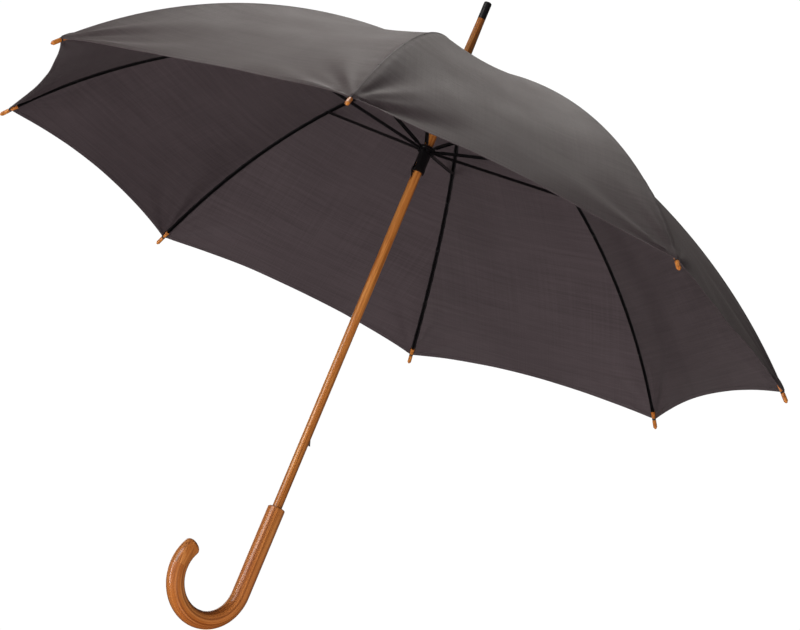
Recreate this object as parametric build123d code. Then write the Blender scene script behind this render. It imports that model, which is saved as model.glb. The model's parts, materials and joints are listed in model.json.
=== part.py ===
from build123d import *
import os
from math import acos, asin, cos, degrees, hypot, radians, sin

# A manual stick umbrella, open. Millimetres, +Z along the shaft towards the ferrule.
# The origin is on the shaft's axis, half way up the straight part of the handle.
# The hook lies in the XZ plane and turns towards +X. Rib 1 lies over the hook.

# Driving dimensions
rib_count = 8
shaft_d = 12.5
handle_d = 22.5
straight_grip = 116.0
hook_radius = 50.0
hook_arc = 216.0
crown_z = 678.0
pivot_r = 9.6
rib_arc_radius = 771.0
crown_slope = 4.3
joint_slope = 23.05
tip_slope = 48.6
ferrule_cap_z = 751.5
ferrule_cap_length = 25.0
ferrule_cap_d = 10.4
running_gap = 0.3
glue_gap = 0.05

# Sheet metal sections
rib_width = 2.8
rib_depth = 2.8
stretcher_width = 4.3
stretcher_depth = 3.0
sheet = 0.45
eye_thickness = 1.4
eye_radius = 1.9
neck = 8.0
wire_d = 1.3
eye_hole_d = 1.5
rivet_d = 1.4
slot_width = 2.2

# Places that follow from them
half_grip = straight_grip / 2
arc_x = pivot_r - rib_arc_radius * sin(radians(crown_slope))
arc_z = crown_z - rib_arc_radius * cos(radians(crown_slope))
joint_x = arc_x + rib_arc_radius * sin(radians(joint_slope))
joint_z = arc_z + rib_arc_radius * cos(radians(joint_slope))
tip_x = arc_x + rib_arc_radius * sin(radians(tip_slope))
tip_z = arc_z + rib_arc_radius * cos(radians(tip_slope))
runner_z = 2 * joint_z - crown_z
stretcher_length = hypot(joint_x - pivot_r, joint_z - runner_z)
stretcher_slope = degrees(asin((joint_z - runner_z) / stretcher_length))
rib_pitch = 360 / rib_count


def save(shape, name):
    """Write one node, whether it is one solid or several."""
    os.makedirs("parts", exist_ok=True)
    shape.label = name
    export_step(shape, "parts/" + name + ".step")


def tube(outer_r, inner_r, low, high):
    """A round sleeve about the shaft's axis, between two heights."""
    ring = Circle(outer_r) - Circle(inner_r)
    return extrude(Pos(0, 0, low) * ring, amount=high - low)


def rod(radius, low, high):
    """A solid cylinder about the shaft's axis, between two heights."""
    return extrude(Pos(0, 0, low) * Circle(radius), amount=high - low)


def around(shape, azimuth):
    """The same shape turned about the shaft's axis."""
    return Rot(0, 0, azimuth) * shape


def in_rib_plane(outline, thickness):
    """A plate in the XZ plane, centred on it."""
    return extrude(Plane.XZ * outline, amount=thickness / 2, both=True)


# Shaft, handle and ferrule

socket_depth = 40.0
taper_z = crown_z + 6
spigot_r = 3.9
spigot_length = 19.0
catch_slot_width = 2.4
catch_slot_depth = 10.5
catch_slot_shift = 1.8
top_slot_z = 535.0
top_slot_length = 46.0
bottom_slot_z = 139.0
bottom_slot_length = 54.0
top_catch_pin_z = 550.0
top_nose_z = 524.4
bottom_catch_pin_z = 118.0
bottom_nose_z = 146.4
catch_pin_d = 1.5
staple_z = runner_z + 11
staple_x = 5.4
staple_reach = 4.2
staple_height = 10.0
staple_wire = 1.2


def catch_slot(side, z, length):
    """The slot that a catch lies in, open on one side of the shaft."""
    return Pos(side * catch_slot_shift, 0, z) * Box(catch_slot_depth, catch_slot_width, length)


def pin_hole(z):
    """The cross hole for a catch's pin."""
    return Pos(0, 0, z) * Rot(90, 0, 0) * Cylinder(catch_pin_d / 2, shaft_d + 2)


def shaft():
    """The wooden pole: glued into the handle, tapered through the ferrule to a spigot."""
    pole = rod(shaft_d / 2, half_grip - socket_depth, taper_z)
    height = ferrule_cap_z - taper_z
    taper = Pos(0, 0, taper_z + height / 2) * Cone(shaft_d / 2, ferrule_cap_d / 2, height)
    spigot = rod(spigot_r, ferrule_cap_z, ferrule_cap_z + spigot_length)
    wood = pole + taper + spigot
    wood -= catch_slot(1, top_slot_z, top_slot_length)
    wood -= catch_slot(-1, bottom_slot_z, bottom_slot_length)
    wood -= pin_hole(top_catch_pin_z)
    wood -= pin_hole(bottom_catch_pin_z)
    wood -= crown_pin_shape()
    wood -= stop_staple()
    return wood


handle_end_round = 5.0
handle_top_round = 2.0


def handle():
    """The bent crook: a straight grip with the shaft's socket, then most of a circle."""
    section = Plane.XY * Pos(0, 0, -half_grip) * Circle(handle_d / 2)
    grip = extrude(section, amount=straight_grip)
    grip = fillet(grip.edges().group_by(Axis.Z)[-1], handle_top_round)
    bend = Axis((hook_radius, 0, -half_grip), (0, -1, 0))
    crook = revolve(section, axis=bend, revolution_arc=hook_arc)
    end_x = hook_radius - hook_radius * cos(radians(hook_arc))
    end_z = -half_grip - hook_radius * sin(radians(hook_arc))
    end_face = crook.faces().filter_by(GeomType.PLANE).sort_by_distance((end_x, 0, end_z))[0]
    crook = fillet(end_face.edges(), handle_end_round)
    socket = rod(shaft_d / 2 + glue_gap, half_grip - socket_depth, half_grip + 1)
    return grip + crook - socket


ferrule_cap_round = 2.2
ferrule_cap_wall = 6.0


def ferrule_cap():
    """The black ferrule end: a cup over the shaft's spigot."""
    top = ferrule_cap_z + ferrule_cap_length
    cup = rod(ferrule_cap_d / 2, ferrule_cap_z, top)
    cup = fillet(cup.edges().group_by(Axis.Z)[-1], ferrule_cap_round)
    return cup - rod(spigot_r + glue_gap, ferrule_cap_z - 1, top - ferrule_cap_wall)


# Crown: notch, wire, pin, washer

hub_r = 11.0
slot_root_r = 7.2
hub_below = 5.0
notch_above = 3.4
runner_above = 3.0
hub_bore_r = shaft_d / 2 + glue_gap
notch_foot = 15.0
notch_sleeve_r = 7.1
notch_band_r = 8.3
notch_band_top = 7.5
crown_pin_drop = 11.0
crown_pin_r = 1.0
crown_pin_length = 16.6
washer_r = 16.0
washer_thickness = 1.4
washer_round = 0.9

def slotted_hub(height_below, height_above, bore_r):
    """A disc with one radial slot for each eye and a groove for the wire, about z = 0."""
    hub = tube(hub_r, bore_r, -height_below, height_above)
    groove_height = wire_d + 0.2
    hub -= tube(hub_r + 1, pivot_r - groove_height / 2, -groove_height / 2, groove_height / 2)
    slot_length = hub_r + 2 - slot_root_r
    slot = Box(slot_length, slot_width, height_below + height_above + 2)
    slot = Pos(slot_root_r + slot_length / 2, 0, (height_above - height_below) / 2) * slot
    for k in range(rib_count):
        hub -= around(slot, k * rib_pitch)
    return hub


def crown_pin_shape():
    """The cross pin that holds the notch on the shaft."""
    lying = Rot(90, 0, rib_pitch / 2) * Cylinder(crown_pin_r, crown_pin_length)
    return Pos(0, 0, crown_z - crown_pin_drop) * lying


def crown_notch():
    """The fixed hub at the top of the shaft, with a sleeve for its pin."""
    hub = Pos(0, 0, crown_z) * slotted_hub(hub_below, notch_above, hub_bore_r)
    foot = crown_z - notch_foot
    sleeve = tube(notch_sleeve_r, hub_bore_r, foot, crown_z - hub_below)
    band = tube(notch_band_r, hub_bore_r, foot, crown_z - notch_band_top)
    return hub + sleeve + band - crown_pin_shape()


def wire_ring(z):
    """The wire that threads every eye."""
    return Pos(0, 0, z) * Torus(pivot_r, wire_d / 2)


def top_washer():
    """The black washer that covers the hole in the cloth."""
    low = crown_z + notch_above
    disc = tube(washer_r, hub_bore_r, low, low + washer_thickness)
    rim = disc.edges().group_by(Axis.Z)[-1].sort_by(SortBy.LENGTH)[-1]
    return fillet(rim, washer_round)


# Ribs

def channel(width, depth):
    """A U section, closed on its +Y side."""
    inside = Rectangle(width - 2 * sheet, depth - sheet)
    return Rectangle(width, depth) - Pos(0, -sheet / 2) * inside


def arc_channel(from_slope, to_slope):
    """The rib's U channel along its arc, open towards the shaft."""
    b = radians(from_slope)
    start = (arc_x + rib_arc_radius * sin(b), 0, arc_z + rib_arc_radius * cos(b))
    section = Plane(origin=start, x_dir=(0, 1, 0), z_dir=(cos(b), 0, -sin(b)))
    axis = Axis((arc_x, 0, arc_z), (0, 1, 0))
    face = section * channel(rib_width, rib_depth)
    return revolve(face, axis=axis, revolution_arc=to_slope - from_slope)


def along_arc(length):
    """The slope that the arc turns through in a length."""
    return degrees(length / rib_arc_radius)


def eye(length, height):
    """A flat eye at the origin, with a neck along +X."""
    plate = Circle(eye_radius) + Pos(length / 2, 0) * Rectangle(length, height)
    return in_rib_plane(plate - Circle(eye_hole_d / 2), eye_thickness)


rivet_head_r = 1.4
rivet_head_h = 0.6
rib_inner_overrun = 1.9
rib_outer_start = 2.9


def rib_rivet():
    """The rivet through the rib and both sides of the stretcher."""
    half = stretcher_width / 2 + running_gap
    shank = Rot(90, 0, 0) * Cylinder(rivet_d / 2, 2 * half)
    head = Rot(90, 0, 0) * Cylinder(rivet_head_r, rivet_head_h)
    offset = half + rivet_head_h / 2
    rivet = shank + Pos(0, offset, 0) * head + Pos(0, -offset, 0) * head
    return Pos(joint_x, 0, joint_z) * rivet


def rib_inner():
    """The rib from the crown to its joint, and the rivet, as separate solids."""
    start = crown_slope + along_arc(neck)
    length = arc_channel(start, joint_slope + along_arc(rib_inner_overrun))
    root = Pos(pivot_r, 0, crown_z) * Rot(0, crown_slope, 0) * eye(neck + 2, rib_depth)
    hole = Pos(joint_x, 0, joint_z) * Rot(90, 0, 0) * Cylinder(rivet_d / 2, 10)
    return Compound(children=[length + root - hole, rib_rivet()])


def rib_outer():
    """The rib from its joint to the band of the tip."""
    return arc_channel(joint_slope + along_arc(rib_outer_start), tip_slope)


tip_inner = 10.5
tip_outer = 14.5
tip_mouth_r = 3.0
tip_shoulder_r = 2.45
tip_waist_r = 2.1
tip_waist = 1.0
tip_shoulder = 2.0
tip_body_r = 2.75
tip_nose = 2.6
tip_nose_r = 1.0
tip_socket_r = hypot(rib_width, rib_depth) / 2 + glue_gap


def rib_tip():
    """A turned wooden tip, with a waist for the thread that holds the cloth."""
    mouth = [(0, -tip_inner), (tip_mouth_r, -tip_inner), (tip_shoulder_r, -tip_shoulder)]
    waist = [(tip_waist_r, -tip_waist), (tip_waist_r, tip_waist), (tip_body_r, tip_shoulder)]
    nose = [(tip_body_r, tip_outer - tip_nose), (tip_nose_r, tip_outer), (0, tip_outer)]
    body = revolve(make_face(Polyline(*mouth, *waist, *nose, close=True)), axis=Axis.Y)
    body -= Pos(0, -tip_inner / 2, 0) * Rot(90, 0, 0) * Cylinder(tip_socket_r, tip_inner)
    lying = Rot(0, 0, -90) * body
    return Pos(tip_x, 0, tip_z) * Rot(0, tip_slope, 0) * lying


# Stretchers

fork_start = 6.0
fork_length = 10.0


def stretcher():
    """A channel with an eye at the runner and a fork at the rib."""
    web_end = stretcher_length - fork_start
    section = Plane(origin=(neck, 0, 0), x_dir=(0, 1, 0), z_dir=(1, 0, 0))
    bar = extrude(section * channel(stretcher_width, stretcher_depth), amount=web_end - neck)
    side = Pos(stretcher_length - fork_length / 2, 0) * Rectangle(fork_length, stretcher_depth)
    side += Pos(stretcher_length, 0) * Circle(stretcher_depth / 2)
    side -= Pos(stretcher_length, 0) * Circle(rivet_d / 2 + glue_gap)
    ear = in_rib_plane(side, sheet)
    reach = (stretcher_width - sheet) / 2
    bar = bar + eye(neck + 2, stretcher_depth) + Pos(0, reach, 0) * ear + Pos(0, -reach, 0) * ear
    return Pos(pivot_r, 0, runner_z) * Rot(0, -stretcher_slope, 0) * bar


# Runner and catches

runner_tube_r = 8.2
runner_below = 33.0
runner_bore_r = shaft_d / 2 + running_gap
band_r = 8.95
band_height = 5.5
window_height = 9.5
window_width = 3.4
window_rise = 2.2


def runner():
    """The sliding tube: a slotted collar, a sleeve, a lower band and two windows."""
    foot = runner_z - runner_below
    body = Pos(0, 0, runner_z) * slotted_hub(hub_below, runner_above, runner_bore_r)
    body += tube(runner_tube_r, runner_bore_r, foot, runner_z - hub_below)
    body += tube(band_r, runner_bore_r, foot, foot + band_height)
    window_z = foot + window_rise + window_height / 2
    body -= Pos(0, 0, window_z) * Box(3 * hub_r, window_width, window_height)
    return body


strip_thickness = 1.4
strip_width = 1.6
knuckle_r = 1.9
knuckle_shift = 0.6
nose_in = 5.0
nose_slope = 9.0


def catch(points, pin_z, side):
    """A bent spring strip in the shaft's slot, rolled round its pin."""
    strip = extrude(Plane.XZ * trace(Polyline(*points), strip_thickness), amount=strip_width / 2, both=True)
    knuckle = Pos(side * knuckle_shift, 0, pin_z) * Rot(90, 0, 0) * Cylinder(knuckle_r, strip_width)
    bore = Pos(0, 0, pin_z) * Rot(90, 0, 0) * Cylinder(catch_pin_d / 2 + glue_gap, 2 * strip_width)
    return strip + knuckle - bore


def top_catch():
    """The upper catch: its nose stands out just below the runner and holds it up."""
    nose = top_nose_z
    leg = [(knuckle_shift, top_catch_pin_z), (4.6, nose + nose_slope), (4.9, nose)]
    step = [(8.6, nose), (nose_in, nose - 8)]
    return catch(leg + step, top_catch_pin_z, 1)


def bottom_catch():
    """The lower catch: its nose enters the closed runner's window."""
    nose = bottom_nose_z
    leg = [(-knuckle_shift, bottom_catch_pin_z), (-5.7, nose - nose_slope), (-5.7, nose)]
    step = [(-9.2, nose), (-nose_in, nose + 10)]
    return catch(leg + step, bottom_catch_pin_z, -1)


def catch_pin(z):
    """The pin that a catch turns on, across the shaft."""
    return Pos(0, 0, z) * Rot(90, 0, 0) * Cylinder(catch_pin_d / 2, shaft_d - 0.4)


def stop_staple():
    """The stop above the runner, driven into the shaft."""
    return in_rib_plane(Pos(staple_x, staple_z) * Rectangle(staple_reach, staple_height), staple_wire)


# Canopy

cloth = 0.5
cloth_lift = 1.9
crown_hole_r = 14.0
hem_corner = 11.0
hem_rise = 12.0


def cloth_shell(lift, thickness, width):
    """A shell at a height over the ribs, straight across from rib to rib, along the XZ plane."""
    squeeze = cos(radians(rib_pitch / 2))
    low = rib_arc_radius + lift
    high = low + thickness
    ring = Ellipse(high * squeeze, high) - Ellipse(low * squeeze, low)
    placed = Pos(arc_x * squeeze, arc_z) * ring
    return extrude(Plane.XZ * placed, amount=width / 2, both=True)


def gore():
    """One cloth gore between rib 1 and rib 2."""
    half = radians(rib_pitch / 2)
    strip = cloth_shell(cloth_lift, cloth, 2 * tip_x)
    reach = 2 * tip_x
    inset = running_gap / sin(half)
    corner = (reach * cos(half), reach * sin(half))
    wedge = make_face(Polyline((0, 0), corner, (corner[0], -corner[1]), close=True))
    panel = strip & Pos(inset, 0, 0) * extrude(wedge, amount=crown_z + 100)
    edge_y = tip_x * sin(half)
    hem_radius = (edge_y**2 + hem_rise**2) / (2 * hem_rise)
    hem_z = tip_z + hem_corner + hem_rise - hem_radius
    panel -= Pos(tip_x, 0, hem_z) * Rot(0, 90, 0) * Cylinder(hem_radius, 2 * tip_x)
    panel -= rod(crown_hole_r, 0, crown_z + 100)
    return around(panel, rib_pitch / 2)


strap_rib = 6
strap_width = 18.0
strap_thickness = 0.8
strap_low = tip_z + 34
strap_high = tip_z + 150
strap_lift = cloth_lift + cloth + 0.1
stud_r = 4.5
stud_height = 1.2
stud_inset = 12.0
stud_gap = 0.15


def tie_strap():
    """The strap that ties the furled cloth, sewn on a seam and bent over it."""
    side = around(cloth_shell(strap_lift, strap_thickness, 2 * tip_x), rib_pitch / 2)
    height = strap_high - strap_low
    half = Pos(tip_x, strap_width / 4, strap_low + height / 2) * Box(2 * tip_x, strap_width / 2, height)
    side &= half
    return around(side + mirror(side, about=Plane.XZ), (strap_rib - 1) * rib_pitch)


def strap_stud():
    """The press stud on the strap's free end."""
    back = rib_arc_radius + strap_lift + strap_thickness + stud_gap
    slope = acos((strap_high - stud_inset - arc_z) / back)
    button = Cylinder(stud_r, stud_height, align=(Align.CENTER, Align.CENTER, Align.MIN))
    placed = Pos(arc_x + back * sin(slope), 0, arc_z + back * cos(slope)) * Rot(0, degrees(slope), 0) * button
    return around(placed, (strap_rib - 1) * rib_pitch)


save(shaft(), "shaft")
save(handle(), "handle")
save(ferrule_cap(), "ferrule_cap")
save(crown_notch(), "crown_notch")
save(wire_ring(crown_z), "crown_wire")
save(crown_pin_shape(), "crown_pin")
save(top_washer(), "top_washer")
save(stop_staple(), "stop_staple")
save(runner(), "runner")
save(wire_ring(runner_z), "runner_wire")
save(top_catch(), "top_catch")
save(catch_pin(top_catch_pin_z), "top_catch_pin")
save(bottom_catch(), "bottom_catch")
save(catch_pin(bottom_catch_pin_z), "bottom_catch_pin")
save(tie_strap(), "tie_strap")
save(strap_stud(), "strap_stud")

repeated = {
    "rib_inner": rib_inner(),
    "rib_outer": rib_outer(),
    "rib_tip": rib_tip(),
    "stretcher": stretcher(),
    "canopy_gore": gore(),
}
for kind, shape in repeated.items():
    for k in range(rib_count):
        save(around(shape, k * rib_pitch), kind + "_" + str(k + 1))
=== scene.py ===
import json
from math import asin, atan2, cos, pi, radians, sin

import bpy
import numpy as np
from mathutils import Matrix, Vector, noise


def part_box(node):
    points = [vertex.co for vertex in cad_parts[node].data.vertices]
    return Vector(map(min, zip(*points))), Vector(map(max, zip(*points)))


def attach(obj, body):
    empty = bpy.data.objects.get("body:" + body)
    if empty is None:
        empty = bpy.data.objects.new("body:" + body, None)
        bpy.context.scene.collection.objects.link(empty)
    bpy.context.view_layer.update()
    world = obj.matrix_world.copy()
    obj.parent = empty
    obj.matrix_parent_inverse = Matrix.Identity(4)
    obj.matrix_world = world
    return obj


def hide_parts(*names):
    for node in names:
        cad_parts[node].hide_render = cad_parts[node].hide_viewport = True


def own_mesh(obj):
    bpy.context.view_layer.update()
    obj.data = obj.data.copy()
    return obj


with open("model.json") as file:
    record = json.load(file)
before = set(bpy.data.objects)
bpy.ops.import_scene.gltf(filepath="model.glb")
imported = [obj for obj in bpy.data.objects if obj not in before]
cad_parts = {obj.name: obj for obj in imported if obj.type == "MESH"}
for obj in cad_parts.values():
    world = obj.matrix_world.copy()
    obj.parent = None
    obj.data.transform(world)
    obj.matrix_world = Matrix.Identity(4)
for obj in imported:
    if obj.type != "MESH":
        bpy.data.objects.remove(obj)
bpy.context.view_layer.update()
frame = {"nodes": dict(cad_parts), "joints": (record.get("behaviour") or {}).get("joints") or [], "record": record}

# A stick umbrella, open. Metres, in the frame of the CAD model: +Z along the shaft towards
# the ferrule, rib 1 over the hook at +X, and rib k turned 45 degrees times k - 1 from it.

nodes = frame["nodes"]
joints = {joint["name"]: joint for joint in frame["joints"]}

# Driving dimensions
rib_count = 8
pitch = 2 * pi / rib_count
half_pitch = pitch / 2
rib_arc_radius = 0.771
crown_slope = radians(4.3)
joint_slope = radians(23.05)
tip_slope = radians(48.6)
cloth_lift = 0.0021
cloth_thickness = 0.00036
crown_hole_r = 0.0125
hem_depth = 0.019
hem_fold = 0.0065
hem_turn_thickness = 0.00042
corner_overhang = 0.0009
panel_sag = 0.0095

# The rib's arc and the points on it, in the XZ plane of its own azimuth
crown_pivot = Vector(joints["rib_1_fold"]["pos_m"])
rib_joint = Vector(joints["rib_1_flex"]["pos_m"])
arc_centre = crown_pivot - rib_arc_radius * Vector((sin(crown_slope), 0, cos(crown_slope)))
cloth_r = rib_arc_radius + cloth_lift


def on_arc(slope, radius):
    """A point over the rib's arc, in the rib's own plane."""
    return arc_centre + radius * Vector((sin(slope), 0, cos(slope)))


def turned(azimuth):
    """The turn about the shaft that carries rib 1 to an azimuth."""
    return Matrix.Rotation(azimuth, 4, "Z")


def rib_azimuth(k):
    return (k - 1) * pitch


def gore_beside(k, hand):
    """The number of the gore on one side of rib k, counted round the crown."""
    first = k if hand > 0 else k - 1
    return (first - 1) % rib_count + 1


# ---------------------------------------------------------------- mesh helpers


def new_object(name, vertices, faces, material=None, smooth=True):
    mesh = bpy.data.meshes.new(name)
    mesh.from_pydata([tuple(v) for v in vertices], [], [tuple(f) for f in faces])
    mesh.validate()
    if smooth:
        mesh.polygons.foreach_set("use_smooth", [True] * len(mesh.polygons))
    piece = bpy.data.objects.new(name, mesh)
    bpy.context.scene.collection.objects.link(piece)
    if material:
        mesh.materials.append(material)
    return piece


def grid_faces(rows, columns, start=0, flip=False):
    """The quads of a grid of points counted row by row."""
    faces = []
    for i in range(rows - 1):
        for j in range(columns - 1):
            a = start + i * columns + j
            quad = (a, a + 1, a + columns + 1, a + columns)
            faces.append(quad[::-1] if flip else quad)
    return faces


def rim_loop(rows, columns):
    """The grid's border points in order."""
    top = list(range(columns))
    right = [i * columns + columns - 1 for i in range(1, rows)]
    bottom = [(rows - 1) * columns + j for j in range(columns - 2, -1, -1)]
    left = [i * columns for i in range(rows - 2, 0, -1)]
    return top + right + bottom + left


def shell_faces(rows, columns, flip):
    """The quads of two like grids, one behind the other, closed round their rim."""
    count = rows * columns
    faces = grid_faces(rows, columns, 0, flip) + grid_faces(rows, columns, count, not flip)
    loop = rim_loop(rows, columns)
    for a, b in zip(loop, loop[1:] + loop[:1]):
        quad = (b, a, a + count, b + count)
        faces.append(quad[::-1] if flip else quad)
    return faces


def wire_piece(name, paths, radius, material, sides=3):
    """Round thread along one or more lists of points, as a mesh."""
    curve = bpy.data.curves.new(name, "CURVE")
    curve.dimensions = "3D"
    curve.bevel_depth = radius
    curve.bevel_resolution = sides
    curve.use_fill_caps = True
    for points in paths:
        spline = curve.splines.new("POLY")
        spline.points.add(len(points) - 1)
        for target, point in zip(spline.points, points):
            target.co = (*point, 1)
    source = bpy.data.objects.new(name + "_curve", curve)
    mesh = bpy.data.meshes.new_from_object(source)
    mesh.name = name
    mesh.polygons.foreach_set("use_smooth", [True] * len(mesh.polygons))
    mesh.materials.clear()
    mesh.materials.append(material)
    bpy.data.objects.remove(source)
    piece = bpy.data.objects.new(name, mesh)
    bpy.context.scene.collection.objects.link(piece)
    return piece


def revolved(name, outline, place, material, steps=32):
    """A closed solid turned about its own Z axis, from its outline's (radius, height) points."""
    vertices, faces = [], []
    for r, z in outline:
        for i in range(steps):
            a = 2 * pi * i / steps
            vertices.append(place @ Vector((r * cos(a), r * sin(a), z)))
    for j in range(len(outline) - 1):
        for i in range(steps):
            a, b = j * steps + i, j * steps + (i + 1) % steps
            faces.append((a, b, b + steps, a + steps))
    faces.append(tuple(range(steps))[::-1])
    faces.append(tuple(range((len(outline) - 1) * steps, len(outline) * steps)))
    return new_object(name, vertices, faces, material)


# ---------------------------------------------------------------- materials


class Surface:
    """One material: a principled shader and the nodes that feed it."""

    def __init__(self, name, **values):
        self.material = bpy.data.materials.new(name)
        self.material.use_nodes = True
        self.tree = self.material.node_tree
        self.shader = self.tree.nodes["Principled BSDF"]
        for socket, value in values.items():
            self.shader.inputs[socket.replace("_", " ")].default_value = value

    def node(self, kind, sockets=None, **settings):
        made = self.tree.nodes.new("ShaderNode" + kind)
        for key, value in settings.items():
            setattr(made, key, value)
        for key, value in (sockets or {}).items():
            self.feed(made.inputs[key], value)
        return made

    def feed(self, socket, value):
        if isinstance(value, bpy.types.NodeSocket):
            self.tree.links.new(value, socket)
        else:
            socket.default_value = value

    def set(self, **values):
        for socket, value in values.items():
            self.feed(self.shader.inputs[socket.replace("_", " ")], value)

    def math(self, operation, a, b=0.0):
        return self.node("Math", {0: a, 1: b}, operation=operation).outputs[0]

    def weighted(self, *parts):
        """The sum of values, each times its weight."""
        terms = [self.math("MULTIPLY", value, weight) for value, weight in parts]
        total = terms[0]
        for term in terms[1:]:
            total = self.math("ADD", total, term)
        return total

    def place(self, scale=(1, 1, 1)):
        """The object's own coordinates in metres, stretched by a scale."""
        return self.stretched(self.node("TexCoord").outputs["Object"], scale)

    def stretched(self, vector, scale):
        return self.node("Mapping", {"Vector": vector, "Scale": scale}).outputs[0]

    def noise(self, vector, scale, detail=3.0, roughness=0.55, distortion=0.0):
        sockets = {"Vector": vector, "Scale": scale, "Detail": detail}
        sockets.update({"Roughness": roughness, "Distortion": distortion})
        return self.node("TexNoise", sockets).outputs[0]

    def between(self, value, low, high, to_low=0.0, to_high=1.0):
        sockets = {"Value": value, "From Min": low, "From Max": high}
        sockets.update({"To Min": to_low, "To Max": to_high})
        return self.node("MapRange", sockets).outputs[0]

    def mixed(self, factor, a, b, blend="MIX"):
        made = self.node("Mix", data_type="RGBA", blend_type=blend)
        factor_socket, first_colour, second_colour = (made.inputs[i] for i in (0, 6, 7))
        self.feed(factor_socket, factor)
        for socket, value in ((first_colour, a), (second_colour, b)):
            self.feed(socket, (*value, 1) if isinstance(value, tuple) else value)
        return made.outputs[2]

    def bump(self, height, strength, distance):
        sockets = {"Height": height, "Strength": strength, "Distance": distance}
        return self.node("Bump", sockets).outputs[0]


def weave(surface, u, v, yarn):
    """The height of a plain weave with that yarn spacing, in two surface coordinates."""
    across = surface.math("SINE", surface.math("MULTIPLY", u, pi / yarn))
    along = surface.math("SINE", surface.math("MULTIPLY", v, pi / yarn))
    return surface.math("MULTIPLY", across, along)


canopy_yarn = 0.00042
plain_yarn = 0.00045
stitch_inset = 0.0052
stitch_thread = 0.00044
stitch_length = 0.0026
seam_shadow_at = 0.0011
seam_shadow_width = 0.0009


def canopy_cloth(name, dark, light, sheen):
    """Tight charcoal polyester: a fine weave, faint weft bars, slubs and a soft sheen."""
    s = Surface(name, Specular_IOR_Level=0.25, Sheen_Weight=sheen, Sheen_Roughness=0.42)
    s.set(Sheen_Tint=(0.95, 0.88, 0.82, 1))
    cut = s.node("UVMap", uv_map="cut").outputs[0]
    edges = s.node("UVMap", uv_map="edges").outputs[0]
    split = s.node("SeparateXYZ", {0: cut}).outputs
    near = s.node("SeparateXYZ", {0: edges}).outputs
    weft_bars = s.noise(s.stretched(cut, (4, 420, 1)), 1.0, 4.0, 0.65)
    warp_lines = s.noise(s.stretched(cut, (520, 5, 1)), 1.0, 3.0, 0.6)
    clouds = s.noise(s.stretched(cut, (9, 9, 1)), 1.0, 3.0, 0.5)
    slubs = s.noise(s.stretched(cut, (60, 1500, 1)), 1.0, 2.0, 0.5)
    long_bars = s.noise(s.stretched(cut, (11, 150, 1)), 1.0, 3.0, 0.6)
    tone = s.weighted(
        (weft_bars, 0.30), (warp_lines, 0.18), (clouds, 0.18), (long_bars, 0.18), (slubs, 0.16)
    )
    cloth = s.mixed(s.between(tone, 0.36, 0.64), dark, light)
    threads = weave(s, split[0], split[1], canopy_yarn)
    hem_line = s.math("ABSOLUTE", s.math("SUBTRACT", near[1], stitch_inset))
    stitch_row = s.math("LESS_THAN", hem_line, stitch_thread / 2)
    stitch_beat = s.math("SINE", s.math("MULTIPLY", split[0], 2 * pi / stitch_length))
    stitches = s.math("MULTIPLY", stitch_row, s.math("GREATER_THAN", stitch_beat, -0.35))
    # Painted shade: a narrow dark line along each seam, just off the rib, darkens the cloth where shade falls in
    # the seam's crease.
    seam_line = s.math("ABSOLUTE", s.math("SUBTRACT", near[0], seam_shadow_at))
    seam_shade_mask = s.between(seam_line, 0.0, seam_shadow_width, 0.6, 1.0)
    cloth = s.mixed(s.math("SUBTRACT", 1.0, seam_shade_mask), cloth, (0.012, 0.010, 0.010))
    s.set(Base_Color=s.mixed(stitches, cloth, (0.011, 0.010, 0.010)))
    s.set(Roughness=s.between(clouds, 0.3, 0.7, 0.56, 0.68))
    height = s.weighted((threads, 0.5), (slubs, 0.6), (weft_bars, 0.5), (stitches, -1.2))
    s.set(Normal=s.bump(height, 0.35, 0.00012))
    return s.material


def plain_cloth(name, dark, light):
    """Cloth without a cut of its own: the seam allowances and the strap."""
    s = Surface(name, Specular_IOR_Level=0.3, Sheen_Weight=0.12, Sheen_Roughness=0.5, Roughness=0.7)
    where = s.place()
    split = s.node("SeparateXYZ", {0: where}).outputs
    worn = s.noise(where, 90, 4.0)
    fuzz = s.noise(where, 1400, 2.0)
    s.set(Base_Color=s.mixed(s.between(worn, 0.35, 0.65), dark, light))
    threads = weave(s, s.math("ADD", split[0], split[1]), split[2], plain_yarn)
    s.set(Normal=s.bump(s.math("ADD", threads, fuzz), 0.35, 0.00012))
    return s.material


def grain_colour(s, along, light, dark, streak):
    """Wood's colour from coordinates with the grain along their Z: bands, streaks and pores."""
    bands = s.noise(s.stretched(along, (1, 1, 0.03)), 230, 4.0, 0.6, 0.5)
    streaks = s.noise(s.stretched(along, (1, 1, 0.010)), 420, 1.0, 0.5)
    pores = s.noise(s.stretched(along, (1, 1, 0.05)), 1000, 0.0, 0.5)
    patches = s.noise(s.stretched(along, (1, 1, 0.4)), 28, 2.0, 0.5)
    wood = s.mixed(s.between(bands, 0.40, 0.60), light, dark)
    wood = s.mixed(s.between(streaks, 0.50, 0.64, 0.0, 0.7), wood, streak)
    wood = s.mixed(s.between(pores, 0.58, 0.75, 0.0, 0.25), wood, streak)
    wood = s.mixed(s.between(patches, 0.3, 0.7, 0.0, 0.4), wood, light, "MULTIPLY")
    return wood, streaks, pores


def lacquered_wood(name, along, light, dark, streak, coat_roughness=0.14):
    """Wood under a clear gloss lacquer, with the grain just felt through it."""
    s = Surface(name, Coat_Weight=0.85, Coat_Roughness=coat_roughness, Coat_IOR=1.5)
    s.set(Specular_IOR_Level=0.35)
    wood, streaks, pores = grain_colour(s, along(s), light, dark, streak)
    s.set(Base_Color=wood)
    s.set(Roughness=s.between(pores, 0.3, 0.7, 0.34, 0.52))
    s.set(Normal=s.bump(streaks, 0.06, 0.00006))
    waves = s.noise(s.place(), 45, 1.0)
    s.set(Coat_Normal=s.bump(waves, 0.03, 0.0002))
    return s.material


def straight_grain(s):
    return s.place()


def tip_grain(s):
    return s.place((1.0, 1.0, 0.6))


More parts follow.
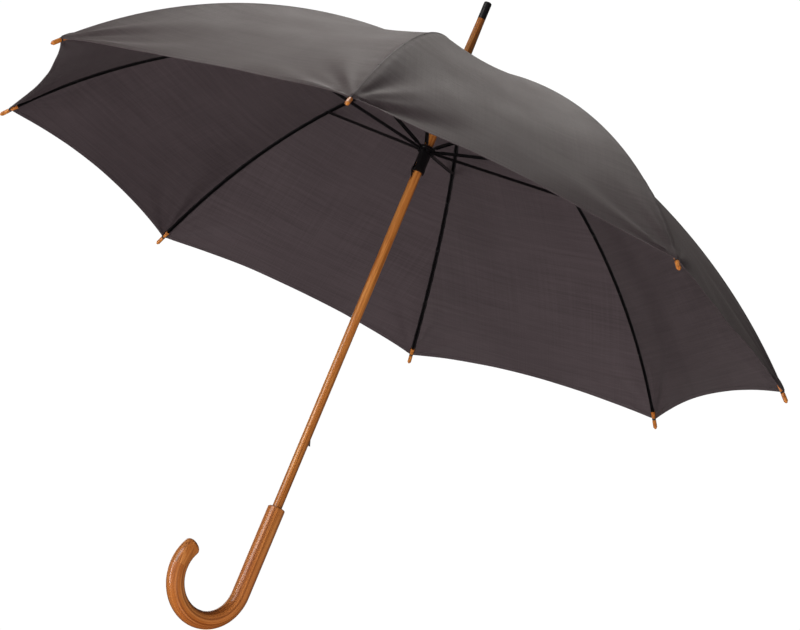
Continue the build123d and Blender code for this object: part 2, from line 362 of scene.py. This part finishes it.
def crook_grain(s):
    """Coordinates that run along the handle: up the straight grip and round the hook."""
    bowl = next(mount["pos_m"] for mount in frame["record"]["mounts"] if mount["name"] == "hook")
    split = s.node("SeparateXYZ", {0: s.place()}).outputs
    out = s.math("SUBTRACT", bowl[0], split[0])
    down = s.math("MINIMUM", s.math("SUBTRACT", split[2], bowl[2]), 0.0)
    up = s.math("MAXIMUM", s.math("SUBTRACT", split[2], bowl[2]), 0.0)
    turn = s.math("ARCTAN2", s.math("MULTIPLY", down, -1.0), out)
    squares = s.math("ADD", s.math("MULTIPLY", out, out), s.math("MULTIPLY", down, down))
    reach = s.math("SQRT", squares)
    length = s.math("SUBTRACT", up, s.math("MULTIPLY", turn, bowl[0]))
    return s.node("CombineXYZ", {0: reach, 1: split[1], 2: length}).outputs[0]


def black_steel():
    """Black enamelled sheet steel, with fine orange peel and rubbed patches."""
    s = Surface("black_enamel_steel", Specular_IOR_Level=0.5, Coat_Weight=0.25, Coat_Roughness=0.25)
    where = s.place()
    rub = s.between(s.noise(where, 140, 4.0), 0.56, 0.78)
    s.set(Base_Color=s.mixed(rub, (0.0035, 0.0034, 0.0036), (0.014, 0.013, 0.0125)))
    s.set(Roughness=s.between(s.noise(where, 700, 2.0), 0.3, 0.7, 0.30, 0.46))
    s.set(Normal=s.bump(s.noise(where, 1900, 2.0), 0.2, 0.00004))
    return s.material


def bright_wire():
    """Drawn bright steel wire, slightly dulled."""
    s = Surface("drawn_bright_wire", Metallic=1.0)
    where = s.place()
    s.set(Base_Color=s.mixed(s.noise(where, 500, 3.0), (0.46, 0.45, 0.43), (0.72, 0.71, 0.69)))
    s.set(Roughness=s.between(s.noise(where, 1500, 2.0), 0.3, 0.7, 0.2, 0.36))
    s.set(Normal=s.bump(s.noise(s.place((1, 1, 0.1)), 4200, 1.0), 0.15, 0.00003))
    return s.material


def cap_black():
    """Black moulded plastic with a satin skin and scuffs on its end."""
    s = Surface("cap_black_satin", Specular_IOR_Level=0.5)
    where = s.place()
    scuffs = s.noise(s.stretched(where, (1, 1, 0.3)), 800, 4.0)
    bare = s.between(scuffs, 0.6, 0.75)
    s.set(Base_Color=s.mixed(bare, (0.012, 0.012, 0.013), (0.045, 0.043, 0.04)))
    s.set(Roughness=s.between(scuffs, 0.35, 0.7, 0.28, 0.5))
    s.set(Normal=s.bump(s.noise(where, 2600, 2.0), 0.15, 0.00004))
    return s.material


def black_thread():
    """Twisted black polyester sewing thread."""
    s = Surface("black_thread", Roughness=0.62, Specular_IOR_Level=0.4, Sheen_Weight=0.2)
    where = s.place()
    twist = s.noise(s.stretched(where, (1, 1, 1.6)), 3600, 1.0)
    s.set(Base_Color=s.mixed(twist, (0.006, 0.006, 0.006), (0.03, 0.028, 0.027)))
    s.set(Normal=s.bump(twist, 0.5, 0.00008))
    return s.material


canopy_material = canopy_cloth(
    "canopy_pongee", (0.050, 0.0395, 0.0405), (0.092, 0.0740, 0.0750), 0.05
)
# The seam allowances are the canopy's own cloth made near black: painted shade under the seams.
seam_cloth_painted_shade = plain_cloth(
    "seam_allowance_painted_shade", (0.006, 0.0055, 0.0055), (0.013, 0.011, 0.011)
)
strap_material = plain_cloth("strap_pongee", (0.036, 0.031, 0.031), (0.058, 0.050, 0.048))
shaft_material = lacquered_wood(
    "shaft_lacquered_wood",
    straight_grain,
    light=(0.66, 0.285, 0.065),
    dark=(0.46, 0.165, 0.030),
    streak=(0.15, 0.042, 0.006),
)
handle_material = lacquered_wood(
    "handle_lacquered_wood",
    crook_grain,
    light=(0.62, 0.250, 0.062),
    dark=(0.44, 0.150, 0.028),
    streak=(0.21, 0.060, 0.010),
)
tip_material = lacquered_wood(
    "tip_lacquered_wood",
    tip_grain,
    light=(0.72, 0.30, 0.055),
    dark=(0.56, 0.20, 0.032),
    streak=(0.32, 0.10, 0.018),
    coat_roughness=0.18,
)
steel_material = black_steel()
wire_material = bright_wire()
cap_material = cap_black()
thread_material = black_thread()

slot_materials = {
    "shaft_wood": shaft_material,
    "handle_wood": handle_material,
    "tip_wood": tip_material,
    "black_steel": steel_material,
    "bright_wire": wire_material,
    "cap_black": cap_material,
}

# ---------------------------------------------------------------- the stretched cloth

columns = 30
column_power = 1.45
upper_rows = 46
lower_rows = 60


def seeded(gore, salt):
    """A fixed number from 0 to 1 for each gore and purpose."""
    return (sin(gore * 12.9898 + salt * 78.233) * 43758.5453) % 1.0


def unfolded(beta, tau):
    """Metres across from the gore's middle, and along the cloth from the crown."""
    rho = arc_centre.x + cloth_r * np.sin(beta)
    return rho * sin(half_pitch) * (1 - tau), cloth_r * beta


def swell(reach, size):
    """Rises from nothing to 1 at a distance, and dies away beyond it."""
    return (reach / size) * np.exp(1 - reach / size)


def creases(gore, hand, beta, tau):
    """How far folds lift the cloth: fans at the tips, seam puckers, crown gathers, slow waves."""
    across, down = unfolded(beta, tau)
    seam_gap = unfolded(beta, 0 * tau)[0] - across
    to_tip = cloth_r * tip_slope - down
    reach = np.hypot(seam_gap, to_tip) + 1e-6
    angle = np.arctan2(seam_gap, np.maximum(to_tip, 1e-6))
    phase = 2 * pi * seeded(gore, hand)
    fan = np.cos(15 * angle + phase + 9 * reach) * 0.0011 * swell(reach, 0.03)
    fan += np.cos(7 * angle + 2 * phase) * 0.0014 * swell(reach, 0.075)
    beat = 2 * pi * down / 0.027 + phase + 1.6 * np.sin(down * 31 + phase)
    pucker = np.sin(beat) * 0.00032 * np.exp(-seam_gap / 0.013)
    gathers = np.cos(3 * pi * tau) * 0.0008 * np.exp(-((down - 0.06) / 0.05) ** 2)
    waves = np.zeros_like(beta)
    for index in np.ndindex(beta.shape):
        spot = Vector((hand * across[index] * 7.0 + gore * 3.7, down[index] * 5.0, gore * 1.3))
        waves[index] = noise.noise(spot) * 0.0030 + noise.noise(spot * 2.6) * 0.0010
    hold = 1 - np.exp(-((seam_gap / 0.006) ** 2))
    calm = 1 - np.exp(-seam_gap / 0.05)
    own_half = np.clip((1 - tau) * 2.5, 0, 1) ** 2
    return hold * (own_half * (fan + pucker) + gathers) + calm * waves


def seam_ridge(seam_gap):
    """The cloth's small turn over the rib: rounded on top, pinched at the sewing."""
    round_over = 0.00035 * np.exp(-((seam_gap / 0.0016) ** 2))
    seam_shade_mask = 0.00045 * np.exp(-(((seam_gap - 0.0021) / 0.0009) ** 2))
    return round_over - seam_shade_mask


def tip_lift(beta, seam_gap):
    """The cloth rises a little where it runs over the wooden tip, and down again at its waist."""
    before = (tip_slope - beta) * cloth_r
    rise = np.clip((0.0170 - before) / 0.006, 0, 1) * np.clip((before - 0.0008) / 0.0025, 0, 1)
    smooth = rise * rise * (3 - 2 * rise)
    over_tip = 0.0015 * smooth * np.exp(-((seam_gap / 0.0045) ** 2))
    over_band = 0.0004 * np.exp(-((seam_gap / 0.003) ** 2)) * (before < 0.004)
    return over_tip + over_band


def cloth_points(gore, hand, beta, tau, offset):
    """Points of the half gore beside a rib, in that rib's frame, raised by an offset."""
    rho = arc_centre.x + cloth_r * np.sin(beta)
    height = arc_centre.z + cloth_r * np.cos(beta)
    seam_gap = rho * sin(half_pitch) * tau
    share = (beta - crown_slope) / (tip_slope - crown_slope)
    sag = panel_sag * np.sin(pi * 0.86 * np.clip(share, 0, 1.2)) * (1 - (1 - tau) ** 2)
    raise_by = offset - sag + creases(gore, hand, beta, tau)
    raise_by = raise_by + seam_ridge(seam_gap) + tip_lift(beta, seam_gap)
    squeeze = cos(half_pitch)
    normal_out, normal_up = np.sin(beta), squeeze * np.cos(beta)
    size = np.hypot(normal_out, normal_up)
    normal_out, normal_up = normal_out / size, normal_up / size
    x = rho * (1 - sin(half_pitch) ** 2 * tau) + normal_out * squeeze * raise_by
    y = hand * (seam_gap * squeeze + normal_out * sin(half_pitch) * raise_by)
    fold_line = np.clip(tau * 40, 0, 1)
    y = y * fold_line + hand * seam_gap * squeeze * (1 - fold_line)
    return np.stack([x, y, height + normal_up * raise_by], axis=-1)


def joint_border(tau):
    """The slope at which the cloth crosses the plane square to the rib at its joint."""
    low, high = radians(15), radians(35)
    for _ in range(50):
        middle = (low + high) / 2
        rho = (arc_centre.x + cloth_r * sin(middle)) * (1 - sin(half_pitch) ** 2 * tau)
        height = arc_centre.z + cloth_r * cos(middle)
        past = (rho - rib_joint.x) * cos(joint_slope) - (height - rib_joint.z) * sin(joint_slope)
        low, high = (low, middle) if past > 0 else (middle, high)
    return middle


def hem_border(tau):
    """The slope of the scalloped hem, lowest at the rib."""
    scallop = hem_depth * (1 - (1 - tau) ** 2)
    return tip_slope + (corner_overhang - scallop) / cloth_r


def crown_border(tau):
    return asin((crown_hole_r - arc_centre.x) / cloth_r) + 0 * tau


tau_row = np.linspace(0, 1, columns) ** column_power


def slope_grid(first, last, share):
    """Slopes for every row and column between two borders."""
    start = np.array([first(t) for t in tau_row])
    end = np.array([last(t) for t in tau_row])
    return start[None, :] + (end - start)[None, :] * share[:, None]


def lower_share():
    """Rows of the lower cloth, closer together over the fold of the hem."""
    length = cloth_r * (tip_slope - joint_slope)
    plain = np.linspace(0, 1 - (hem_fold + 0.001) / length, lower_rows - 4)
    hem = 1 - np.array([hem_fold, hem_fold * 0.5, 0.0009, 0.0]) / length
    return np.concatenate([plain, hem])


def hem_thickness(hem_gap):
    """The cloth is double over the folded hem."""
    return np.where(hem_gap <= hem_fold * 1.01, hem_turn_thickness, 0.0)


upper_share = np.linspace(0, 1, upper_rows) ** 1.12
layouts = {
    "upper": slope_grid(crown_border, joint_border, upper_share),
    "lower": slope_grid(joint_border, hem_border, lower_share()),
}
outer_normals = {}


def position_key(point):
    return tuple(np.round(point * 1e5).astype(int))


def gather_normals(points, rows, flip):
    """Adds a grid's face normals at its points, so that neighbours shade as one sheet."""
    grid = points.reshape(rows, columns, 3)
    along = grid[1:, :-1] - grid[:-1, 1:]
    across = grid[1:, 1:] - grid[:-1, :-1]
    face = np.cross(along, across) * (-1 if flip else 1)
    keys = [position_key(p) for p in points]
    for i in range(rows - 1):
        for j in range(columns - 1):
            for corner in ((i, j), (i, j + 1), (i + 1, j), (i + 1, j + 1)):
                key = keys[corner[0] * columns + corner[1]]
                outer_normals[key] = outer_normals.get(key, 0) + face[i, j]


def cloth_piece(k, hand, part):
    """Half a gore's upper or lower cloth, beside rib k."""
    gore = gore_beside(k, hand)
    beta = layouts[part]
    rows = beta.shape[0]
    tau = np.broadcast_to(tau_row[None, :], beta.shape)
    hem_gap = (np.array([hem_border(t) for t in tau_row])[None, :] - beta) * cloth_r
    outer = cloth_points(gore, hand, beta, tau, cloth_thickness / 2)
    inner = cloth_points(gore, hand, beta, tau, -cloth_thickness / 2 - hem_thickness(hem_gap))
    spin = np.array(turned(rib_azimuth(k)).to_3x3())
    outer = outer.reshape(-1, 3) @ spin.T
    inner = inner.reshape(-1, 3) @ spin.T
    flip = hand < 0
    gather_normals(outer, rows, flip)
    faces = shell_faces(rows, columns, not flip)
    name = f"canopy_{part}_{'left' if hand > 0 else 'right'}_{k}"
    piece = new_object(name, np.concatenate([outer, inner]), faces, canopy_material)
    across, down = unfolded(beta, tau)
    seam_gap = unfolded(beta, 0 * tau)[0] - across
    lay_out(piece, (-hand * across).ravel(), down.ravel(), seam_gap.ravel(), hem_gap.ravel())
    body = f"rib_{k}" if part == "upper" else f"rib_end_{k}"
    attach(piece, body)
    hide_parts(f"canopy_gore_{gore}")
    return piece, outer


def lay_out(piece, across, down, seam_gap, hem_gap):
    """Two UV maps in metres: where the cloth lies in its cut, and how far its edges are."""
    mesh = piece.data
    count = len(across)
    corners = np.zeros(len(mesh.loops), int)
    mesh.loops.foreach_get("vertex_index", corners)
    for name, first, second in (("cut", across, down), ("edges", seam_gap, hem_gap)):
        layer = mesh.uv_layers.new(name=name)
        pairs = np.stack([first[corners % count], second[corners % count]], axis=-1)
        layer.data.foreach_set("uv", pairs.ravel())


def shade_as_one(piece, outer):
    """Gives both faces of a piece the normals gathered over the whole canopy."""
    mesh = piece.data
    count = len(outer)
    at_vertex = np.array([outer_normals[position_key(p)] for p in outer])
    at_vertex /= np.linalg.norm(at_vertex, axis=1)[:, None]
    corner_normals = np.zeros((len(mesh.loops), 3))
    for polygon in mesh.polygons:
        members = list(polygon.vertices)
        if all(m < count for m in members):
            values = at_vertex[members]
        elif all(m >= count for m in members):
            values = -at_vertex[[m - count for m in members]]
        else:
            values = np.broadcast_to(np.array(polygon.normal), (len(members), 3))
        corner_normals[polygon.loop_start : polygon.loop_start + polygon.loop_total] = values
    mesh.normals_split_custom_set(corner_normals.tolist())


def crumple(piece, k, hand, part):
    """Works out an axis and an anchor for the half gore's gathering against its rib, and gives the piece a mesh of
    its own; no gathering is made here.
    """
    ends = (crown_slope, joint_slope) if part == "upper" else (joint_slope, tip_slope)
    start, end = on_arc(ends[0], cloth_r), on_arc(ends[1], cloth_r)
    chord = (end - start).normalized()
    ruling = Vector((-sin(half_pitch), hand * cos(half_pitch), 0))
    axis = ruling - ruling.dot(chord) * chord
    crest = on_arc(sum(ends) / 2, cloth_r)
    anchor = crest.lerp((start + end) / 2, 0.3)
    spin = turned(rib_azimuth(k))
    axis, anchor = spin @ axis.normalized(), spin @ anchor
    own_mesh(piece)


cloth_pieces = []
for part in ("upper", "lower"):
    for k in range(1, rib_count + 1):
        for hand in (1, -1):
            piece, outer = cloth_piece(k, hand, part)
            cloth_pieces.append((piece, outer, k, hand, part))
for piece, outer, k, hand, part in cloth_pieces:
    shade_as_one(piece, outer)
    crumple(piece, k, hand, part)

# ---------------------------------------------------------------- seams, ties, strap


def strip_over_seam(name, k, layers, rows, material):
    """A thin closed strip along rib k's seam, from two layers of lines in the rib's frame."""
    spin = np.array(turned(rib_azimuth(k)).to_3x3())
    stacked = [np.stack(lines, axis=1).reshape(-1, 3) for lines in layers]
    points = np.concatenate(stacked) @ spin.T
    return new_object(name, points, shell_faces(rows, len(layers[0]), True), material)


def seam_allowance(k, name, body, start, end, rows):
    """The two cut edges behind a seam, pressed flat each way against the cloth."""
    half_width, thickness, gap = 0.0033, 0.00034, 0.00006
    beta_line = np.linspace(start, end, rows)
    spots = np.array([-1.0, -0.66, -0.33, -0.06, 0.06, 0.33, 0.66, 1.0])
    layers = []
    for layer in (0, 1):
        lines = []
        for spot in spots:
            hand = 1 if spot > 0 else -1
            gore = gore_beside(k, hand)
            rho = arc_centre.x + cloth_r * np.sin(beta_line)
            fit = np.minimum(1, rho * sin(half_pitch) * 0.7 / half_width)
            wander = 1 + 0.09 * np.sin(beta_line * 190 + k) + 0.06 * np.sin(beta_line * 431 + 2 * k)
            seam_gap = abs(spot) * half_width * fit * (wander if abs(spot) == 1 else 1)
            tau = seam_gap / (rho * sin(half_pitch))
            drop = -cloth_thickness / 2 - gap - layer * thickness
            lines.append(cloth_points(gore, hand, beta_line[:, None], tau[:, None], drop)[:, 0])
        layers.append(lines)
    piece = strip_over_seam(name, k, layers, rows, seam_cloth_painted_shade)
    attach(piece, body)


def thread_loops(k, name, body, slopes, turns, radius, thread):
    """Thread wound round the rib or its tip where the cloth is sewn to it."""
    steps = 16
    paths = []
    for slope in slopes:
        centre = on_arc(slope, rib_arc_radius + (radius - cloth_lift) * 0.35)
        out = Vector((sin(slope), 0, cos(slope)))
        along = Vector((cos(slope), 0, -sin(slope)))
        points = []
        for i in range(turns * steps + 1):
            a = 2 * pi * i / steps
            shift = (i / (turns * steps) - 0.5) * turns * thread * 1.9
            ring = out * sin(a) * radius + Vector((0, 1, 0)) * cos(a) * radius
            points.append(turned(rib_azimuth(k)) @ (centre + ring + along * shift))
        paths.append(points)
    piece = wire_piece(name, paths, thread, thread_material)
    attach(piece, body)


strap_rib = 6


def tie_strap():
    """The tie strap on the seam of rib 6, folded and stitched, bent over the seam."""
    low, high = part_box("tie_strap")
    k, rows = strap_rib, 46
    radius = cloth_r + 0.0009
    start = np.arccos((high.z - arc_centre.z) / radius)
    end = np.arccos((low.z - arc_centre.z) / radius)
    beta_line = np.linspace(start, end, rows)
    spots = np.array([-1, -0.97, -0.78, -0.74, -0.4, -0.1, 0.1, 0.4, 0.74, 0.78, 0.97, 1])
    half_width, gap, thickness = 0.009, 0.00045, 0.0009
    end_round = 0.009
    layers = []
    rho = arc_centre.x + cloth_r * np.sin(beta_line)
    outward = np.stack([np.sin(beta_line), 0 * beta_line, np.cos(beta_line)], axis=-1)
    before_end = np.clip((start + end_round - beta_line) / end_round, 0, 1)
    taper = np.sqrt(np.clip(1 - before_end**2, 0.02, 1))
    for layer in (0, 1):
        lines = []
        for spot in spots:
            hand = 1 if spot > 0 else -1
            aside = abs(spot)
            tau = aside * half_width * taper / (rho * sin(half_pitch))
            fold = 0.00025 if 0.77 < aside < 0.98 else 0.0
            dip = -0.00022 if 0.73 < aside < 0.77 else 0.0
            billow = 0.0005 * np.sin(beta_line * 60) * (aside < 0.9)
            lift = cloth_thickness / 2 + gap + (1 - layer) * (thickness + fold + dip)
            lift = lift + 0.0004 * (1 - aside)
            under = cloth_points(gore_beside(k, hand), hand, beta_line[:, None], tau[:, None], 0.0)
            lines.append(under[:, 0] + outward * (lift + billow)[:, None])
        layers.append(lines)
    piece = strip_over_seam("tie_strap_webbing", k, layers, rows, strap_material)
    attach(piece, "rib_end_6")
    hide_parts("tie_strap")


def strap_snap():
    """The domed press stud on the strap's free end."""
    low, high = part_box("strap_stud")
    middle = (low + high) / 2
    back = Vector((middle.x, middle.y, 0)).length
    slope = atan2(back - arc_centre.x, middle.z - arc_centre.z)
    spin = turned(rib_azimuth(strap_rib))
    place = Matrix.Translation(spin @ Vector((back, 0, middle.z))) @ spin
    place = place @ Matrix.Rotation(slope, 4, "Y")
    flange = [(0.0045, -0.0006), (0.0045, 0.0), (0.0042, 0.0004), (0.0036, 0.0005)]
    dome = [(0.0030, 0.0006), (0.0024, 0.0011), (0.0013, 0.0014), (0.0002, 0.0015)]
    outline = flange + [(0.0033, 0.00025)] + dome
    piece = revolved("strap_snap", outline, place, cap_material)
    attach(piece, "rib_end_6")
    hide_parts("strap_stud")


inner_ties = [radians(11.5), radians(17.5)]
outer_ties = [radians(27.5), radians(34.5), radians(41.5)]
tie_size = (3, 0.00225, 0.00018)
binding_size = (5, 0.00262, 0.0002)
for k in range(1, rib_count + 1):
    seam_allowance(k, f"seam_upper_{k}", f"rib_{k}", crown_border(0) + 0.006, joint_slope, 60)
    seam_allowance(k, f"seam_lower_{k}", f"rib_end_{k}", joint_slope, tip_slope - 0.014, 80)
    thread_loops(k, f"rib_tie_upper_{k}", f"rib_{k}", inner_ties, *tie_size)
    thread_loops(k, f"rib_tie_lower_{k}", f"rib_end_{k}", outer_ties, *tie_size)
    thread_loops(k, f"tip_binding_{k}", f"rib_end_{k}", [tip_slope], *binding_size)
tie_strap()
strap_snap()

# ---------------------------------------------------------------- finishes of the CAD pieces

for entry in frame["record"]["subparts"]:
    finish = slot_materials.get(entry["material_slot"])
    if finish:
        mesh = nodes[entry["node"]].data
        mesh.materials.clear()
        mesh.materials.append(finish)

# ---------------------------------------------------------------- floor, light and camera

camera_place = Vector((1.7321, 2.5107, -0.3781))
camera_aim = Vector((-0.0403, 0.0288, 0.3445))
camera_roll = radians(22.51)
camera_lens = 111.6
sensor_width = 36.0
background_white = 1.02
floor_seen = 0.9
floor_height = -2.6


def floor():
    """A floor far below: pale to the camera, but giving the object little light back."""
    size = 40.0
    corners = [(-size, -size, floor_height), (size, -size, floor_height)]
    corners += [(size, size, floor_height), (-size, size, floor_height)]
    s = Surface("studio_floor", Roughness=0.8, Specular_IOR_Level=0.0)
    seen = s.node("LightPath").outputs["Is Camera Ray"]
    s.set(Base_Color=s.mixed(s.noise(s.place(), 3.0, 2.0), (0.09, 0.09, 0.09), (0.11, 0.11, 0.11)))
    s.set(Emission_Color=(1, 1, 1, 1), Emission_Strength=s.math("MULTIPLY", seen, floor_seen))
    new_object("floor", corners, [(0, 1, 2, 3)], s.material, smooth=False)


def camera():
    view = bpy.data.cameras.new("camera")
    view.lens = camera_lens
    view.sensor_width = sensor_width
    view.clip_start = 0.05
    view.clip_end = 50.0
    eye = bpy.data.objects.new("camera", view)
    eye.location = camera_place
    eye.rotation_mode = "QUATERNION"
    level = (camera_aim - camera_place).to_track_quat("-Z", "Y")
    eye.rotation_quaternion = level @ Matrix.Rotation(camera_roll, 3, "Z").to_quaternion()
    bpy.context.scene.collection.objects.link(eye)
    bpy.context.scene.camera = eye


def softbox(name, way, power, size=(1.8, 1.8), distance=3.0, glossy=True, colour=(1, 1, 1)):
    """A soft light, placed by the photographer's own right, up and back from the object."""
    turn = bpy.context.scene.camera.rotation_quaternion
    light = bpy.data.lights.new(name, "AREA")
    light.shape = "RECTANGLE"
    light.size, light.size_y = size
    light.energy = power
    light.color = colour
    lamp = bpy.data.objects.new(name, light)
    lamp.location = camera_aim + turn @ Vector(way).normalized() * distance
    lamp.rotation_mode = "QUATERNION"
    lamp.rotation_quaternion = (camera_aim - lamp.location).to_track_quat("-Z", "Y")
    lamp.visible_glossy = glossy
    lamp.visible_camera = False
    bpy.context.scene.collection.objects.link(lamp)


def white_studio(strength):
    """A white surround, full white behind the object and dim as light on it."""
    world = bpy.data.worlds.new("studio")
    bpy.context.scene.world = world
    world.use_nodes = True
    tree = world.node_tree
    tree.nodes.clear()
    path = tree.nodes.new("ShaderNodeLightPath")
    seen = tree.nodes.new("ShaderNodeBackground")
    seen.inputs[1].default_value = background_white
    lit = tree.nodes.new("ShaderNodeBackground")
    lit.inputs[1].default_value = strength
    for surround in (seen, lit):
        surround.inputs[0].default_value = (1, 1, 1, 1)
    mix = tree.nodes.new("ShaderNodeMixShader")
    tree.links.new(path.outputs["Is Camera Ray"], mix.inputs[0])
    tree.links.new(lit.outputs[0], mix.inputs[1])
    tree.links.new(seen.outputs[0], mix.inputs[2])
    tree.links.new(mix.outputs[0], tree.nodes.new("ShaderNodeOutputWorld").inputs[0])


floor()
camera()
top_tint, front_tint = (1.0, 0.955, 0.92), (1.0, 0.925, 0.98)
softbox("top", (0.16, 0.83, -0.54), 50, colour=top_tint)
softbox("top_right", (0.3, 0.72, -0.6), 5, colour=top_tint)
softbox("key", (-0.6, 0.6, 0.5), 28, (1.4, 1.4), colour=(1, 0.97, 0.93))
softbox("strip", (-0.91, 0.05, 0.41), 14, (0.3, 1.6), 2.2)
softbox("front_left", (-0.5, 0.1, 0.85), 24, glossy=False, colour=front_tint)
softbox("front_right", (0.2, -0.35, 0.9), 40, glossy=False, colour=front_tint)
softbox("low", (0, -0.8, 0.5), 36, glossy=False, colour=front_tint)
softbox("back", (-0.35, 0.1, -0.93), 25, (2.2, 2.2), 3.4, colour=top_tint)
white_studio(0.06)
bpy.context.scene.view_settings.view_transform = "Standard"
